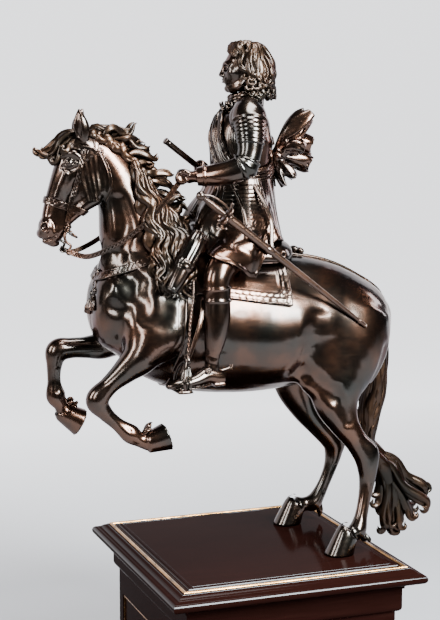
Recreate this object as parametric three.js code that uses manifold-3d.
// A bronze equestrian statuette on a moulded wooden plinth, in millimetres, +Z up.
// The horse looks along -X, and its left side, with the sword, is -Y.
// The origin is the centre of the plinth's underside.
import * as THREE from 'three';
import * as BufferGeometryUtils from 'three/addons/utils/BufferGeometryUtils.js';
import Module from 'manifold-3d';

const wasm = await Module();
wasm.setup();

// Driving sizes
const FIGURE_HEIGHT = 1000;
const JOINT_GAP = 0.3;

const FIELD_LENGTH = 417;
const FIELD_WIDTH = 454;
const PLINTH_HEIGHT = 320;

const MARGIN_WIDTH = 12;
const MARGIN_DROP = 4;
const FILLET_WIDTH = 7;
const FILLET_SEAT_DEPTH = 3;
const BEVEL_WIDTH = 20;
const BEVEL_DROP = 9;
const TORUS_RADIUS = 9.5;
const UNDERSIDE_RISE = 5;
const NECK_OVERHANG = 33;
const NECK_FILLET_HEIGHT = 9;
const NECK_HEIGHT = 57;
const NECK_STEP = 3.5;
const OVOLO_RADIUS = 10;
const FOOT_HEIGHT = 36;
const FOOT_OUTSET = 16;
const FOOT_MOULDING_HEIGHT = 16;

const PANEL_SIDE_MARGIN = 25;
const PANEL_TOP_MARGIN = 54;
const PANEL_BOTTOM_MARGIN = 26;
const PANEL_RECESS = 4;
const PANEL_FILLET_WIDTH = 4;
const PANEL_FILLET_THICKNESS = 2;
const CUT_PAST = 1;

// Sizes worked out from them
const SEAT_WIDTH = FILLET_WIDTH + 2 * JOINT_GAP;
const SEAT_FLOOR = MARGIN_DROP + FILLET_SEAT_DEPTH;
const BEVEL_START = MARGIN_WIDTH + SEAT_WIDTH;
const TORUS_CENTRE = [BEVEL_START + BEVEL_WIDTH, MARGIN_DROP + BEVEL_DROP + TORUS_RADIUS];
const UNDERSIDE = TORUS_CENTRE[1] + TORUS_RADIUS + UNDERSIDE_RISE;
const NECK_OUTSET = TORUS_CENTRE[0] + TORUS_RADIUS - NECK_OVERHANG;
const OVERHANG = TORUS_CENTRE[0] + TORUS_RADIUS;
const OVERALL_LENGTH = FIELD_LENGTH + 2 * OVERHANG;
const OVERALL_WIDTH = FIELD_WIDTH + 2 * OVERHANG;

// Materials
const bronze = new THREE.MeshStandardMaterial({ color: 0x3a2a20, roughness: 0.3, metalness: 1 });
const copperBronze = new THREE.MeshStandardMaterial({ color: 0x5a3626, roughness: 0.35, metalness: 1 });
const ebonisedWood = new THREE.MeshStandardMaterial({ color: 0x2a1214, roughness: 0.25, metalness: 0 });
const brass = new THREE.MeshStandardMaterial({ color: 0xb88a55, roughness: 0.35, metalness: 1 });

const SIDEWAYS = new THREE.Vector3(0, 1, 0);
const LEFT = -1;
const RIGHT = 1;

// Closed surface of ring after ring of points, each ring with as many points
function skin(rings, closesOnItself = false) {
  const count = rings[0].length;
  const points = rings.flat();
  const triangles = [];
  const spans = closesOnItself ? rings.length : rings.length - 1;
  for (let ring = 0; ring < spans; ring++) {
    const here = ring * count;
    const next = ((ring + 1) % rings.length) * count;
    for (let k = 0; k < count; k++) {
      const l = (k + 1) % count;
      triangles.push(here + k, here + l, next + l, here + k, next + l, next + k);
    }
  }
  if (!closesOnItself) {
    for (const [ring, turned] of [[0, true], [rings.length - 1, false]]) {
      const middle = new THREE.Vector3();
      rings[ring].forEach((point) => middle.addScaledVector(point, 1 / count));
      const hub = points.push(middle) - 1;
      for (let k = 0; k < count; k++) {
        const here = ring * count + k;
        const next = ring * count + ((k + 1) % count);
        triangles.push(...(turned ? [next, here, hub] : [here, next, hub]));
      }
    }
  }
  const geometry = new THREE.BufferGeometry().setFromPoints(points);
  geometry.setIndex(triangles);
  return geometry;
}

function toSolid(geometry) {
  return new wasm.Manifold(new wasm.Mesh({
    numProp: 3,
    vertProperties: new Float32Array(geometry.attributes.position.array),
    triVerts: new Uint32Array(geometry.index.array),
  }));
}

// The surface of a solid, without the small voids that its overlapping forms close in
function toGeometry(solid) {
  const mesh = solid.getMesh();
  const corner = (vertex) => new THREE.Vector3().fromArray(mesh.vertProperties, 3 * vertex);
  const parents = Array.from({ length: mesh.vertProperties.length / 3 }, (_, vertex) => vertex);
  const shellOf = (vertex) => {
    let root = vertex;
    while (parents[root] !== root) root = parents[root];
    parents[vertex] = root;
    return root;
  };
  const triangles = [];
  for (let i = 0; i < mesh.triVerts.length; i += 3) {
    const [a, b, c] = mesh.triVerts.subarray(i, i + 3);
    parents[shellOf(b)] = shellOf(a);
    parents[shellOf(c)] = shellOf(a);
    triangles.push([a, b, c]);
  }
  const volumes = new Map();
  for (const [a, b, c] of triangles) {
    const shell = shellOf(a);
    const share = corner(a).dot(corner(b).cross(corner(c))) / 6;
    volumes.set(shell, (volumes.get(shell) ?? 0) + share);
  }
  const geometry = new THREE.BufferGeometry();
  geometry.setAttribute('position', new THREE.BufferAttribute(mesh.vertProperties, 3));
  geometry.setIndex(triangles.filter(([a]) => volumes.get(shellOf(a)) > 0).flat());
  return geometry;
}

function join(solids) {
  return solids.reduce((whole, solid) => whole.add(solid));
}

function box([sizeX, sizeY, sizeZ], [x, y, z]) {
  const geometry = new THREE.BoxGeometry(sizeX, sizeY, sizeZ);
  geometry.deleteAttribute('uv');
  geometry.deleteAttribute('normal');
  geometry.translate(x, y, z);
  return toSolid(BufferGeometryUtils.mergeVertices(geometry));
}

// Stations are thousandths of the figure's height: x, y, z, half width to the side,
// reach one way and reach the other. With side along Y, a form that runs up reaches forward
// first, and one that runs down, or towards the tail, reaches back or up first.
// A band is a stretch, from one share of the length to another, that stands proud.
const UNIT = FIGURE_HEIGHT / 1000;

function curveThrough(triples) {
  const points = triples.map((triple) => new THREE.Vector3(...triple).multiplyScalar(UNIT));
  return new THREE.CatmullRomCurve3(points, false, 'catmullrom', 0.5);
}

function loft(stations, options = {}) {
  const {
    side = SIDEWAYS, sides = 7, proud = 0, square = 0, bands = [],
    folds = 0, foldDepth = 0, sag = 0,
  } = options;
  const centres = curveThrough(stations.map(([x, y, z]) => [x, y, z]));
  const reaches = curveThrough(stations.map(([, , , width, first, second]) => [width, first, second]));
  const spans = stations.length - 1;
  const shares = Array.from({ length: spans + 1 }, (_, j) => [j / spans, proud])
    .filter(([t]) => !bands.some(([from, to]) => t > from - 0.02 && t < to + 0.02));
  for (const [from, to, height] of bands) {
    shares.push([from - 0.003, proud], [from, proud + height], [to, proud + height], [to + 0.003, proud]);
  }
  shares.sort((one, other) => one[0] - other[0]);
  const power = 1 / (1 + square);
  const rings = [];
  for (const [t, extra] of shares) {
    const centre = centres.getPoint(t);
    const reach = reaches.getPoint(t);
    const along = centres.getTangent(Math.min(Math.max(t, 0.001), 0.999));
    const across = side.clone().addScaledVector(along, -side.dot(along)).normalize();
    const up = along.clone().cross(across);
    const ring = [];
    for (let k = 0; k < sides; k++) {
      const angle = (2 * Math.PI * (k + 0.5)) / sides;
      const fold = 1 + foldDepth * t * Math.cos(folds * angle);
      const c = fold * Math.sign(Math.cos(angle)) * Math.abs(Math.cos(angle)) ** power;
      const s = fold * Math.sign(Math.sin(angle)) * Math.abs(Math.sin(angle)) ** power;
      const rise = (s > 0 ? reach.y : reach.z) + extra * UNIT;
      const point = centre.clone();
      point.addScaledVector(across, c * (reach.x + extra * UNIT)).addScaledVector(up, s * rise);
      point.z -= sag * UNIT * t * t * Math.abs(c) ** 3;
      ring.push(point);
    }
    rings.push(ring);
  }
  return toSolid(skin(rings));
}

// A round-sectioned form through points, tapering from one radius to the other
function cord(points, startRadius, endRadius, options = {}) {
  const last = points.length - 1;
  const stations = points.map(([x, y, z], i) => {
    const radius = startRadius + ((endRadius - startRadius) * i) / last;
    return [x, y, z, radius, radius, radius];
  });
  return loft(stations, { sides: 4, ...options });
}

// A flat band through points, wide along its side direction
function strap(points, width, thickness, options = {}) {
  const stations = points.map(([x, y, z]) => [x, y, z, width / 2, thickness / 2, thickness / 2]);
  return loft(stations, { sides: 4, square: 1, ...options });
}

// A rounded lump at a place, with its half sizes along X, Y and Z, turned about Y by degrees
function lump([x, y, z], [a, b, c], turn = 0, detail = [5, 4]) {
  const geometry = new THREE.SphereGeometry(1, ...detail);
  geometry.deleteAttribute('uv');
  geometry.deleteAttribute('normal');
  geometry.rotateX(Math.PI / 2);
  geometry.scale(a * UNIT, b * UNIT, c * UNIT);
  geometry.rotateY(THREE.MathUtils.degToRad(turn));
  geometry.translate(x * UNIT, y * UNIT, z * UNIT);
  return toSolid(BufferGeometryUtils.mergeVertices(geometry, 1e-4));
}

// Stations or points of the other side, mirrored in the horse's middle plane
function mirrored(rows) {
  return rows.map(([x, y, ...rest]) => [x, -y, ...rest]);
}

const onBothSides = (make) => [LEFT, RIGHT].flatMap(make);

// Horse
const TRUNK = [
  [-318, 0, 500, 26, 30, 34], [-305, 0, 502, 62, 66, 64], [-270, 0, 503, 92, 102, 100],
  [-215, 0, 495, 111, 128, 131], [-130, 0, 474, 124, 140, 147], [-40, 0, 459, 130, 139, 144],
  [50, 0, 457, 131, 134, 139], [130, 0, 456, 126, 120, 126], [199, 0, 441, 111, 101, 114],
  [240, 0, 421, 85, 85, 101], [265, 0, 405, 52, 60, 76], [275, 0, 400, 20, 24, 34],
];

const NECK = [
  [-165, 0, 520, 92, 112, 96], [-215, 0, 585, 80, 96, 92], [-246, 0, 645, 62, 68, 74],
  [-264, 0, 700, 50, 50, 62], [-283, 0, 750, 42, 44, 52], [-312, 0, 790, 36, 40, 36],
  [-345, 0, 808, 28, 28, 24],
];

const HEAD_SIDE = new THREE.Vector3(0.17, 0.985, 0);
const HEAD = [
  [-340, 0, 826, 24, 24, 20], [-347, 1, 806, 33, 38, 30], [-353, 2, 782, 37, 50, 39],
  [-361, 3, 755, 36, 60, 38], [-372, 5, 724, 31, 54, 36], [-385, 7, 694, 24, 38, 31],
  [-394, 9, 668, 22, 29, 27], [-400, 10, 650, 23, 26, 23], [-402, 11, 634, 20, 21, 20],
  [-404, 11, 623, 11, 12, 12],
];

const NEAR_FORELEG = [
  [-205, -72, 500, 34, 50, 44], [-232, -84, 452, 38, 46, 46], [-258, -88, 414, 34, 36, 36],
  [-288, -84, 386, 25, 24, 25], [-318, -79, 360, 19, 18, 18], [-341, -77, 333, 20, 23, 22],
  [-326, -76, 306, 15, 16, 14], [-302, -75, 283, 11, 14, 12], [-277, -75, 262, 15, 20, 17],
  [-238, -75, 244, 17, 19, 19],
];
const NEAR_FORE_HOOF = [[-240, -75, 243, 20, 21, 21], [-203, -75, 255, 26, 25, 30]];

const FAR_FORELEG = [
  [-215, 66, 490, 34, 50, 44], [-248, 78, 440, 38, 46, 46], [-284, 80, 412, 30, 30, 30],
  [-318, 79, 408, 22, 22, 22], [-350, 78, 408, 20, 20, 21], [-378, 77, 404, 20, 24, 23],
  [-385, 76, 376, 15, 16, 15], [-387, 75, 345, 11, 15, 12], [-384, 75, 316, 15, 21, 18],
  [-363, 75, 278, 17, 19, 19],
];
const FAR_FORE_HOOF = [[-365, 75, 279, 20, 21, 21], [-333, 75, 262, 26, 25, 31]];

const NEAR_HIND_LEG = [
  [200, -58, 470, 50, 60, 72], [176, -76, 400, 50, 64, 82], [152, -90, 345, 40, 58, 72],
  [146, -97, 300, 31, 44, 52], [160, -101, 258, 26, 28, 34], [182, -104, 222, 22, 22, 25],
  [201, -107, 190, 20, 30, 24], [207, -109, 160, 18, 20, 21], [204, -111, 132, 14, 16, 16],
  [196, -115, 100, 11, 14, 12], [186, -121, 68, 12, 15, 12], [176, -126, 44, 17, 20, 17],
  [156, -130, 36, 15, 15, 15], [146, -132, 35, 19, 20, 20],
];
const NEAR_HIND_HOOF = [[152, -132, 38, 20, 22, 23], [131, -133, -9, 28, 30, 28]];

const FAR_HIND_LEG = [
  [200, 58, 470, 50, 60, 72], [176, 76, 400, 50, 64, 82], [146, 88, 345, 40, 58, 70],
  [140, 93, 300, 31, 44, 50], [158, 95, 250, 26, 28, 31], [192, 97, 207, 22, 22, 24],
  [222, 98, 172, 20, 30, 22], [226, 99, 145, 18, 20, 18], [218, 99, 114, 13, 15, 13],
  [205, 100, 82, 11, 14, 12], [192, 101, 57, 14, 16, 14], [180, 102, 42, 17, 20, 17],
  [158, 103, 38, 15, 15, 15], [144, 103, 36, 19, 20, 20],
];
const FAR_HIND_HOOF = [[140, 103, 38, 20, 22, 23], [119, 104, -9, 28, 30, 28]];

function horseTrunk() {
  const muscles = onBothSides((side) => [
    lump([-226, 76 * side, 520], [44, 34, 96], 24),
    lump([188, 52 * side, 430], [80, 64, 92], -16),
  ]);
  return [loft(TRUNK, { sides: 12 }), loft(NECK, { sides: 8 }), ...muscles];
}

const BROWBAND = [0.13, 0.18, 3];
const NOSEBAND = [0.555, 0.62, 3];

function horseHead() {
  const features = onBothSides((side) => [
    lump([-368, 3 + 33 * side, 777], [11, 7, 8]),
    lump([-334, 4 + 20 * side, 736], [33, 18, 36], 20),
    loft([
      [-347, 22 * side, 822, 9, 8, 9], [-351, 26 * side, 848, 10, 5, 9],
      [-354, 23 * side, 874, 2, 2, 2],
    ], { sides: 5 }),
  ]);
  return [loft(HEAD, { side: HEAD_SIDE, sides: 8, bands: [BROWBAND, NOSEBAND] }), ...features];
}

// Hair behind a fetlock, from the joint to its tip
function fetlockTuft([x, y, z], [dx, dz], radius) {
  return cord([[x, y, z], [x + dx * 0.6, y, z + dz * 0.6], [x + dx, y, z + dz]], radius, 1.5);
}

function horseLegs() {
  const limbs = [NEAR_FORELEG, FAR_FORELEG, NEAR_HIND_LEG, FAR_HIND_LEG];
  const hooves = [NEAR_FORE_HOOF, FAR_FORE_HOOF, NEAR_HIND_HOOF, FAR_HIND_HOOF];
  return [
    ...limbs.map((stations) => loft(stations, { sides: 6 })),
    ...hooves.map((stations) => loft(stations)),
    fetlockTuft([-250, -75, 268], [22, 18], 8),
    fetlockTuft([-358, 75, 300], [20, 6], 8),
    fetlockTuft([192, -128, 34], [4, -26], 9),
    fetlockTuft([198, 102, 36], [-8, -32], 9),
  ];
}

// A wavy lock: it runs from its root along its reach, swinging from side to side
function lock(root, reach, options = {}) {
  const { radius = 9, waves = 1.5, swing = 8, phase = 0, bends = 4 } = options;
  const stations = [];
  for (let i = 0; i <= bends; i++) {
    const s = i / bends;
    const sway = swing * Math.sin(phase + 2 * Math.PI * waves * s) * Math.sqrt(s);
    const lift = 3 * Math.sin(2 * Math.PI * waves * s + phase + 1) * s;
    const thickness = radius * (0.6 + 0.4 * Math.sin(Math.PI * Math.min(1, s * 1.6))) * (1 - s ** 3) + 1.2;
    stations.push([
      root[0] + reach[0] * s + sway, root[1] + reach[1] * s - lift,
      root[2] + reach[2] * s, thickness * 0.75, thickness, thickness,
    ]);
  }
  return loft(stations, { sides: 3 });
}

const CREST = [
  [-345, 0, 828], [-312, 0, 826], [-278, 0, 808], [-246, 0, 776], [-218, 0, 734],
  [-196, 0, 694], [-172, 0, 660], [-140, 0, 635],
];

const MANE_MASS = [
  [-338, -2, 824, 10, 10, 14], [-300, -6, 822, 16, 14, 22], [-266, -10, 800, 20, 20, 26],
  [-240, -18, 766, 22, 26, 28], [-216, -34, 724, 22, 28, 28], [-196, -58, 676, 20, 34, 30],
  [-190, -80, 625, 18, 36, 34], [-192, -95, 575, 16, 28, 30], [-194, -102, 540, 8, 14, 16],
];

function mane() {
  const crest = curveThrough(CREST);
  const locks = [loft(MANE_MASS, { sides: 6 })];
  const crestLocks = 7;
  for (let i = 0; i < crestLocks; i++) {
    const t = i / (crestLocks - 1);
    const { x, y, z } = crest.getPoint(t).divideScalar(UNIT);
    const windward = (1 - t) ** 1.5;
    locks.push(lock(
      [x, y - 10 - 20 * t, z - 4],
      [62 * windward + 10 * Math.sin(5 * i), -14 - 50 * t, -26 - 150 * t - 16 * Math.sin(3 * i)],
      { radius: 13, phase: 1.7 * i, swing: 6 + 5 * t, waves: 1.2 + 0.4 * t },
    ));
  }
  const hangingLocks = 5;
  for (let i = 0; i < hangingLocks; i++) {
    const s = i / (hangingLocks - 1);
    locks.push(lock(
      [-226 + 58 * s, -56 - 18 * s, 690 - 36 * s],
      [2 + 26 * s, -50 + 4 * s, -136 - 22 * Math.sin(2.3 * i)],
      { radius: 13, phase: 1.3 * i, swing: 10, waves: 1.6 },
    ));
  }
  locks.push(
    lock([-285, -4, 812], [50, 0, 28], { radius: 9 }),
    lock([-255, -4, 790], [56, 0, 2], { radius: 10 }),
    lock([-232, -6, 765], [66, -6, -8], { radius: 10 }),
    lock([-236, -10, 742], [66, -28, -2], { radius: 12, phase: 2 }),
  );
  return locks;
}

function forelock() {
  return [
    lock([-340, 4, 828], [-54, 4, -34], { radius: 15, swing: 4 }),
    lock([-350, -10, 826], [-56, -8, -44], { radius: 14, swing: 4, phase: 2 }),
    lock([-352, -4, 820], [-78, -8, -20], { radius: 12, swing: 3, phase: 1 }),
  ];
}

const TAIL = [
  [258, 0, 505, 14, 12, 14], [274, 0, 450, 20, 16, 20], [276, 0, 380, 22, 17, 22],
  [273, 0, 310, 22, 17, 22], [262, 2, 250, 22, 17, 22], [252, 6, 195, 26, 18, 22],
  [280, 10, 145, 22, 26, 24], [316, 13, 108, 22, 38, 34], [332, 15, 70, 20, 46, 44],
  [328, 15, 36, 14, 34, 38], [322, 14, 14, 6, 12, 16],
];

function tail() {
  const locks = [loft(TAIL, { sides: 6 })];
  const tipLocks = 7;
  for (let i = 0; i < tipLocks; i++) {
    const s = i / (tipLocks - 1);
    locks.push(lock(
      [318 - 4 * s, 14 + 8 * Math.sin(2.1 * i), 116 - 30 * s],
      [90 - 104 * s, 14 * Math.sin(1.9 * i + 1), -42 - 56 * Math.sin(0.5 + 1.3 * s)],
      { radius: 15, phase: 1.1 * i, swing: 5, waves: 1, bends: 3 },
    ));
  }
  return locks;
}

// Tack: bridle, reins, breast collar, girth, saddle and saddle cloth
function bridle() {
  return onBothSides((side) => [
    strap([
      [-346, 2 + 37 * side, 798], [-356, 3 + 39 * side, 762], [-365, 5 + 36 * side, 722],
      [-377, 9 + 25 * side, 662],
    ], 4, 11),
    cord([[-378, 10 + 26 * side, 664], [-383, 10 + 28 * side, 636], [-376, 10 + 28 * side, 618]], 4.5, 3),
    lump([-377, 10 + 25 * side, 652], [8, 6, 8]),
  ]);
}

function reins() {
  return onBothSides((side) => loft([
    [-376, 10 + 28 * side, 620, 4, 4, 4], [-356, 6 + 42 * side, 605, 4, 5, 5],
    [-322, 55 * side, 609, 4, 5, 5], [-270, 64 * side, 641, 4, 6, 6],
    [-222, 66 * side, 680, 4, 6, 6], [-170, 42 * side - 22, 738, 4, 5, 5],
  ], { sides: 4, square: 1 }));
}

function breastCollar() {
  const UPRIGHT = new THREE.Vector3(0, 0, 1);
  const band = onBothSides((side) => strap([
    [-326, 0, 560], [-312, 42 * side, 566], [-272, 76 * side, 584], [-190, 98 * side, 616],
  ], 13, 8, { side: UPRIGHT }));
  const tassels = [-12, 8].map((y) => (
    cord([[-324, y, 560], [-330, y, 528], [-331, y, 512], [-332, y, 494]], 3.5, 8.5)
  ));
  return [...band, lump([-326, 0, 562], [8, 12, 13]), ...tassels];
}

const CLOTH_OUTLINE = [
  [-232, 560], [-196, 524], [-170, 534], [-95, 520], [32, 501], [33, 560], [46, 640], [-200, 700],
];

function saddleCloth() {
  const outline = new THREE.Shape(CLOTH_OUTLINE.map(([x, z]) => new THREE.Vector2(x * UNIT, z * UNIT)));
  const reach = 160 * UNIT;
  const geometry = new THREE.ExtrudeGeometry(outline, { depth: 2 * reach, bevelEnabled: false });
  geometry.deleteAttribute('uv');
  geometry.deleteAttribute('normal');
  geometry.rotateX(Math.PI / 2);
  geometry.translate(0, reach, 0);
  const prism = toSolid(BufferGeometryUtils.mergeVertices(geometry, 1e-4));
  return loft(TRUNK, { sides: 12, proud: 6 }).intersect(prism);
}

const SADDLE = [
  [-135, 0, 606, 46, 34, 20], [-118, 0, 604, 70, 62, 20], [-92, 0, 598, 86, 50, 20],
  [-30, 0, 590, 96, 36, 20], [30, 0, 588, 92, 38, 20], [56, 0, 588, 70, 30, 12],
  [68, 0, 586, 40, 12, 8],
];

function saddle() {
  const cords = onBothSides((side) => cord([
    [-176, 118 * side, 560], [-179, 142 * side, 500], [-190, 149 * side, 410], [-192, 150 * side, 388],
    [-194, 151 * side, 360],
  ], 3, 11));
  const crupper = strap([
    [60, 0, 596], [110, 0, 587], [165, 0, 567], [215, 0, 541], [245, 0, 516], [262, 0, 492],
  ], 12, 8);
  const ornaments = [[98, 588], [243, 522]].map(([x, z]) => lump([x, 0, z], [11, 11, 8], 20));
  return [saddleCloth(), loft(SADDLE), ...cords, crupper, ...ornaments];
}

// Rider
const TORSO_SIDE = new THREE.Vector3(0.26, 0.966, 0);
const TORSO = [
  [-22, 0, 640, 72, 68, 70], [-20, 0, 690, 66, 64, 62], [-23, 0, 722, 61, 60, 59],
  [-26, 0, 745, 62, 57, 61], [-30, 0, 782, 68, 54, 66], [-27, 0, 822, 72, 57, 68],
  [-18, 0, 854, 62, 46, 52], [-15, 0, 878, 38, 32, 32], [-15, 0, 905, 29, 28, 28],
];

const HEAD_TURN = new THREE.Vector3(0.3, 0.954, 0);
const RIDER_HEAD = [
  [-20, 0, 892, 22, 26, 22], [-21, 0, 906, 30, 36, 32], [-18, 0, 925, 35, 41, 40],
  [-14, 0, 950, 38, 41, 46], [-10, 0, 975, 37, 37, 44], [-7, 0, 992, 26, 26, 30],
  [-6, 0, 999, 10, 10, 12],
];

const HAIR = [
  [-6, 0, 1001, 16, 12, 18], [-7, 0, 988, 34, 34, 38], [-6, 1, 964, 42, 32, 50],
  [-1, 1, 934, 45, 14, 52], [6, 0, 908, 42, 6, 44], [8, 0, 892, 30, 2, 34],
];

const LEFT_ARM = [
  [-30, -62, 868, 22, 24, 26], [-38, -84, 850, 26, 28, 30], [-41, -98, 822, 25, 26, 27],
  [-46, -104, 792, 22, 22, 23], [-56, -106, 768, 20, 20, 24], [-80, -100, 757, 19, 20, 20],
  [-108, -88, 752, 17, 18, 18], [-134, -76, 748, 14, 14, 14],
];
const LEFT_HAND = [
  [-130, -78, 748, 14, 15, 15], [-146, -72, 746, 17, 19, 20], [-162, -64, 742, 18, 20, 20],
  [-176, -60, 740, 12, 13, 14],
];

const RIGHT_ARM = [
  [4, 62, 868, 22, 24, 26], [12, 84, 850, 26, 28, 30], [18, 98, 822, 25, 26, 27],
  [22, 106, 792, 22, 22, 23], [18, 108, 766, 20, 20, 24], [-12, 102, 750, 18, 19, 19],
  [-56, 84, 738, 14, 14, 14],
];
const RIGHT_HAND = [
  [-52, 84, 739, 14, 15, 15], [-66, 75, 737, 17, 19, 20], [-80, 69, 737, 17, 19, 18],
  [-92, 67, 738, 10, 11, 11],
];

function arms() {
  const sleeves = [LEFT_ARM, RIGHT_ARM].flatMap((arm) => {
    const [shoulderX, shoulderY, shoulderZ] = arm[0];
    const outwards = Math.sign(shoulderY);
    const lames = [0.24, 0.32].map((from) => [from, from + 0.05, 3.5]);
    const cuff = [0.93, 0.98, 3];
    const bands = arm === LEFT_ARM ? [...lames, [0.54, 0.62, 3], cuff] : [];
    return [
      loft(arm, { bands, sides: arm === LEFT_ARM ? 7 : 6 }),
      lump([shoulderX - 2, shoulderY + 16 * outwards, shoulderZ - 10], [33, 28, 34], 0, [7, 5]),
    ];
  });
  return [...sleeves, loft(LEFT_HAND), loft(RIGHT_HAND)];
}

const RIDER_LEG = [
  [-20, -75, 630, 36, 40, 40], [-66, -108, 606, 30, 32, 34], [-104, -130, 588, 26, 28, 30],
  [-125, -142, 562, 24, 27, 26], [-126, -144, 530, 22, 25, 24], [-128, -145, 480, 23, 26, 24],
  [-132, -144, 428, 17, 19, 18], [-137, -143, 392, 14, 15, 14], [-138, -142, 374, 15, 18, 15],
];
const RIDER_FOOT = [
  [-116, -142, 372, 10, 10, 12], [-140, -143, 373, 15, 14, 17], [-182, -146, 366, 17, 10, 13],
  [-208, -148, 363, 15, 8, 11], [-224, -149, 362, 7, 5, 7],
];

function legsAndStirrups() {
  return onBothSides((side) => {
    const own = (rows) => (side === LEFT ? rows : mirrored(rows));
    const limb = own(RIDER_LEG);
    return [
      loft(limb, { sides: 6, bands: side === LEFT ? [[0.42, 0.45, 3], [0.54, 0.57, 2.5]] : [] }),
      loft(own(RIDER_FOOT), { sides: 5 }),
      cord(own([[-120, -142, 378], [-106, -143, 388], [-96, -143, 392]]), 5, 3),
      strap(own([[-216, -148, 355], [-172, -147, 356]]), 42, 6),
    ];
  });
}

function coatSkirt() {
  const SKIRT = [
    [-24, 0, 742, 64, 60, 60], [-27, 0, 700, 82, 68, 74], [-34, 0, 655, 108, 76, 94],
    [-42, 0, 618, 132, 78, 100], [-46, 0, 600, 138, 76, 100],
  ];
  return [
    loft(SKIRT, { sides: 18, folds: 6, foldDepth: 0.04, sag: 30 }),
    strap([[-104, -122, 612], [-76, -134, 594], [-50, -137, 576], [-34, -132, 600]], 10, 32),
  ];
}

function sashAndBow() {
  const across = [0, 1].map((fold) => cord([
    [10, 52, 880 - 6 * fold], [-30, 50, 866 - 12 * fold], [-66, 20, 838 - 16 * fold],
    [-82, -22, 794 - 12 * fold], [-50, -66, 754 - 6 * fold],
    [16, -64, 748 - 6 * fold], [40, -20, 764 - 8 * fold],
  ], 11, 9));
  const knot = [48, -8, 782];
  const petals = [
    [[48, -8, 786, 8, 10, 10], [76, -10, 820, 13, 20, 16], [104, -12, 842, 17, 20, 16], [120, -12, 856, 12, 14, 8]],
    [[50, -4, 790, 8, 10, 10], [88, 0, 806, 15, 18, 18], [116, 4, 808, 18, 20, 20], [130, 6, 796, 10, 12, 14]],
    [[50, 0, 780, 8, 10, 10], [86, 6, 780, 15, 18, 16], [112, 10, 774, 16, 18, 18], [128, 10, 766, 8, 9, 9]],
    [[48, -10, 776, 8, 10, 10], [58, -14, 752, 12, 10, 12], [72, -14, 730, 14, 8, 8]],
  ];
  return [...across, lump(knot, [16, 18, 18]), ...petals.map((rows) => loft(rows, { sides: 4 }))];
}

// Points on the rider's head: forwards from its middle, to its left, and up
function onHead(forward, left, up) {
  return [-14 - 0.954 * forward + 0.3 * -left, 0.3 * forward - 0.954 * left, 948 + up];
}

function riderHead() {
  const face = [
    lump(onHead(46, 0, -6), [9, 6, 12], 15),
    lump(onHead(36, 0, -38), [11, 11, 10]),
    lump(onHead(37, 0, 14), [10, 24, 6]),
    lump([-54, 2, 878], [13, 16, 18]),
  ];
  const curls = [];
  const count = 5;
  for (let i = 0; i < count; i++) {
    const bearing = THREE.MathUtils.degToRad(62 + (236 * i) / (count - 1));
    const [x, y, z] = onHead(34 * Math.cos(bearing), 32 * Math.sin(bearing), -10);
    const [tipX, tipY, tipZ] = onHead(50 * Math.cos(bearing) - 4, 46 * Math.sin(bearing), -60);
    curls.push(lock([x, y, z], [tipX - x, tipY - y, tipZ - z], {
      radius: 12, swing: 4, phase: 1.9 * i, waves: 1.2, bends: 3,
    }));
  }
  const hair = loft(HAIR, { side: HEAD_TURN, sides: 12, folds: 6, foldDepth: 0.12 });
  return [loft(RIDER_HEAD, { side: HEAD_TURN, sides: 8 }), ...face, hair, ...curls];
}

const BATON_ENDS = [[-163, 50, 812], [-40, 72, 723]];
const BATON_RADIUS = 6;
const SWORD_POMMEL = [-160, -150, 716];
const SWORD_TIP = [187, -128, 455];

// The straight line from one end to the other, as points at the given shares of its length
function along([from, to], shares) {
  return shares.map((share) => from.map((value, i) => value + (to[i] - value) * share));
}

function swordForms(clearance = 0) {
  const ends = [SWORD_POMMEL, SWORD_TIP];
  const stations = (shares, widths) => along(ends, shares).map((point, i) => (
    [...point, widths[i][0] + clearance, widths[i][1] + clearance, widths[i][1] + clearance]
  ));
  return join([
    lump(along(ends, [0])[0], [9 + clearance, 9 + clearance, 9 + clearance]),
    loft(stations([0.01, 0.08, 0.15], [[4, 4], [5, 6], [4, 5]]), { sides: 6 }),
    loft(stations([0.13, 0.16, 0.19], [[16, 5], [19, 6], [15, 5]]), { sides: 6 }),
    loft(stations([0.17, 0.4, 0.75, 1], [[6, 10], [6, 9], [5, 7.5], [3, 4]]), { sides: 6 }),
    loft(stations([0.95, 1, 1.012], [[5, 6], [4.5, 5], [3, 3]]), { sides: 6 }),
  ]);
}

function batonForm(clearance = 0) {
  const radius = BATON_RADIUS + clearance;
  return cord(along(BATON_ENDS, [0, 1]), radius, radius, { sides: 10 });
}

const clearanceInShares = JOINT_GAP / UNIT;

function horseAndRider() {
  const cast = join([
    ...horseTrunk(), ...horseHead(), ...horseLegs(), ...mane(), ...forelock(), ...tail(),
    ...bridle(), ...reins(), ...breastCollar(), ...saddle(),
    loft(TORSO, { side: TORSO_SIDE, sides: 10 }), ...arms(), ...legsAndStirrups(),
    ...coatSkirt(), ...sashAndBow(), ...riderHead(),
  ]);
  const underHooves = box([OVERALL_LENGTH, OVERALL_WIDTH, PLINTH_HEIGHT], [0, 0, -PLINTH_HEIGHT / 2]);
  return cast
    .subtract(swordForms(clearanceInShares))
    .subtract(batonForm(clearanceInShares))
    .subtract(underHooves);
}

// Plinth: mouldings as profiles of how far out and how far down, run round the field's edge
function moulding(profile, length = FIELD_LENGTH, width = FIELD_WIDTH) {
  const corners = [[1, 1], [1, -1], [-1, -1], [-1, 1]];
  return profile.map(([out, down]) => corners.map(([sx, sy]) => (
    new THREE.Vector3(sx * (length / 2 + out), sy * (width / 2 + out), PLINTH_HEIGHT - down)
  )));
}

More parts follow.
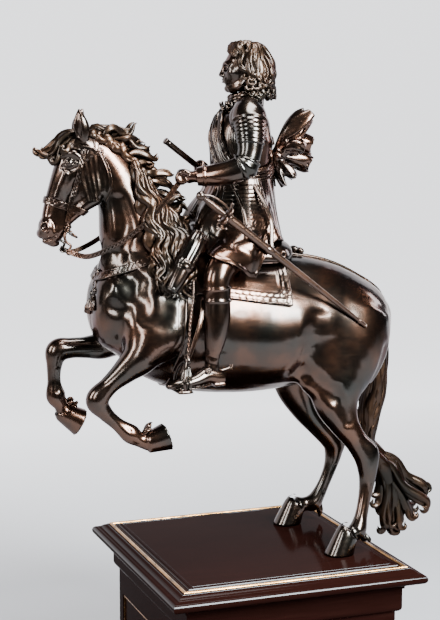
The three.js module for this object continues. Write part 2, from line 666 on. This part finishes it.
function arc([outCentre, downCentre], radius, fromDegrees, toDegrees, count) {
  return Array.from({ length: count + 1 }, (_, i) => {
    const angle = THREE.MathUtils.degToRad(fromDegrees + ((toDegrees - fromDegrees) * i) / count);
    return [outCentre + radius * Math.cos(angle), downCentre + radius * Math.sin(angle)];
  });
}

const TOP_PROFILE = [
  [0, 0],
  [MARGIN_WIDTH, MARGIN_DROP],
  [MARGIN_WIDTH, SEAT_FLOOR],
  [BEVEL_START, SEAT_FLOOR],
  [BEVEL_START, MARGIN_DROP],
  ...arc(TORUS_CENTRE, TORUS_RADIUS, -90, 90, 8),
  [NECK_OUTSET, UNDERSIDE],
];

const SHAFT_TOP = UNDERSIDE + JOINT_GAP;
const NECK_BOTTOM = UNDERSIDE + NECK_HEIGHT;
const NECK_FACE = NECK_OUTSET - NECK_STEP;
const SHAFT_OUTSET = NECK_FACE - OVOLO_RADIUS;
const FOOT_TOP = PLINTH_HEIGHT - FOOT_HEIGHT;

const SHAFT_PROFILE = [
  [NECK_OUTSET, SHAFT_TOP],
  [NECK_OUTSET, UNDERSIDE + NECK_FILLET_HEIGHT],
  [NECK_FACE, UNDERSIDE + NECK_FILLET_HEIGHT],
  [NECK_FACE, NECK_BOTTOM - OVOLO_RADIUS],
  ...arc([NECK_FACE - OVOLO_RADIUS, NECK_BOTTOM - OVOLO_RADIUS], OVOLO_RADIUS, 18, 90, 4),
  [SHAFT_OUTSET, FOOT_TOP - JOINT_GAP],
];

const FOOT_PROFILE = [
  [SHAFT_OUTSET, FOOT_TOP],
  ...arc([SHAFT_OUTSET, FOOT_TOP + FOOT_MOULDING_HEIGHT], FOOT_MOULDING_HEIGHT, -72, 0, 4),
  [SHAFT_OUTSET + FOOT_OUTSET, PLINTH_HEIGHT],
];

const PANEL_TOP = PLINTH_HEIGHT - NECK_BOTTOM - PANEL_TOP_MARGIN;
const PANEL_BOTTOM = FOOT_HEIGHT + PANEL_BOTTOM_MARGIN;
const PANEL_MIDDLE = (PANEL_TOP + PANEL_BOTTOM) / 2;
const PANEL_RISE = PANEL_TOP - PANEL_BOTTOM;

// The four faces of the shaft: name, way out, and the face's own breadth
const FACES = [
  ['left', [0, -1], FIELD_LENGTH], ['right', [0, 1], FIELD_LENGTH],
  ['head_end', [-1, 0], FIELD_WIDTH], ['tail_end', [1, 0], FIELD_WIDTH],
].map(([name, out, breadth]) => ({
  name,
  out,
  panelBreadth: breadth + 2 * SHAFT_OUTSET - 2 * PANEL_SIDE_MARGIN,
  distance: (out[0] ? FIELD_LENGTH : FIELD_WIDTH) / 2 + SHAFT_OUTSET,
}));

// A box lying on a face: its breadth along the face, its rise, and from which depth to which
function faceBox({ out, distance }, breadth, rise, inner, outer) {
  const depth = outer - inner;
  const middle = distance + (inner + outer) / 2;
  const size = out[0] ? [depth, breadth, rise] : [breadth, depth, rise];
  return box(size, [out[0] * middle, out[1] * middle, PANEL_MIDDLE]);
}

function plinthShaft() {
  const shaft = toSolid(skin(moulding(SHAFT_PROFILE)));
  const recess = (face) => faceBox(face, face.panelBreadth, PANEL_RISE, -PANEL_RECESS, CUT_PAST);
  return FACES.reduce((whole, face) => whole.subtract(recess(face)), shaft);
}

function panelFillet(face) {
  const floor = -PANEL_RECESS + JOINT_GAP;
  const breadth = face.panelBreadth - 2 * JOINT_GAP;
  const rise = PANEL_RISE - 2 * JOINT_GAP;
  const opening = 2 * PANEL_FILLET_WIDTH;
  const plate = faceBox(face, breadth, rise, floor, floor + PANEL_FILLET_THICKNESS);
  const hole = faceBox(face, breadth - opening, rise - opening, floor - CUT_PAST, floor + PANEL_RECESS);
  return plate.subtract(hole);
}

function brassFillet() {
  const inner = MARGIN_WIDTH + JOINT_GAP;
  const radius = FILLET_WIDTH / 2;
  const centre = [inner + radius, MARGIN_DROP];
  const profile = [
    [inner, SEAT_FLOOR - JOINT_GAP],
    ...arc(centre, radius, -180, 0, 6),
    [inner + FILLET_WIDTH, SEAT_FLOOR - JOINT_GAP],
  ];
  return skin(moulding(profile), true);
}

const statuette = new THREE.Group();

function put(group, name, geometry, material) {
  const mesh = new THREE.Mesh(geometry, material);
  mesh.name = name;
  group.add(mesh);
}

const figure = new THREE.Group();
figure.position.z = PLINTH_HEIGHT + JOINT_GAP;
put(figure, 'horse_and_rider', toGeometry(horseAndRider()), bronze);
put(figure, 'sword_and_scabbard', toGeometry(swordForms()), copperBronze);
put(figure, 'commander_baton', toGeometry(batonForm()), bronze);
statuette.add(figure);

put(statuette, 'plinth_top', skin(moulding(TOP_PROFILE)), ebonisedWood);
put(statuette, 'plinth_shaft', toGeometry(plinthShaft()), ebonisedWood);
put(statuette, 'plinth_foot', skin(moulding(FOOT_PROFILE)), ebonisedWood);
put(statuette, 'brass_fillet', brassFillet(), brass);
FACES.forEach((face) => put(statuette, `panel_fillet_${face.name}`, toGeometry(panelFillet(face)), brass));

export default statuette;
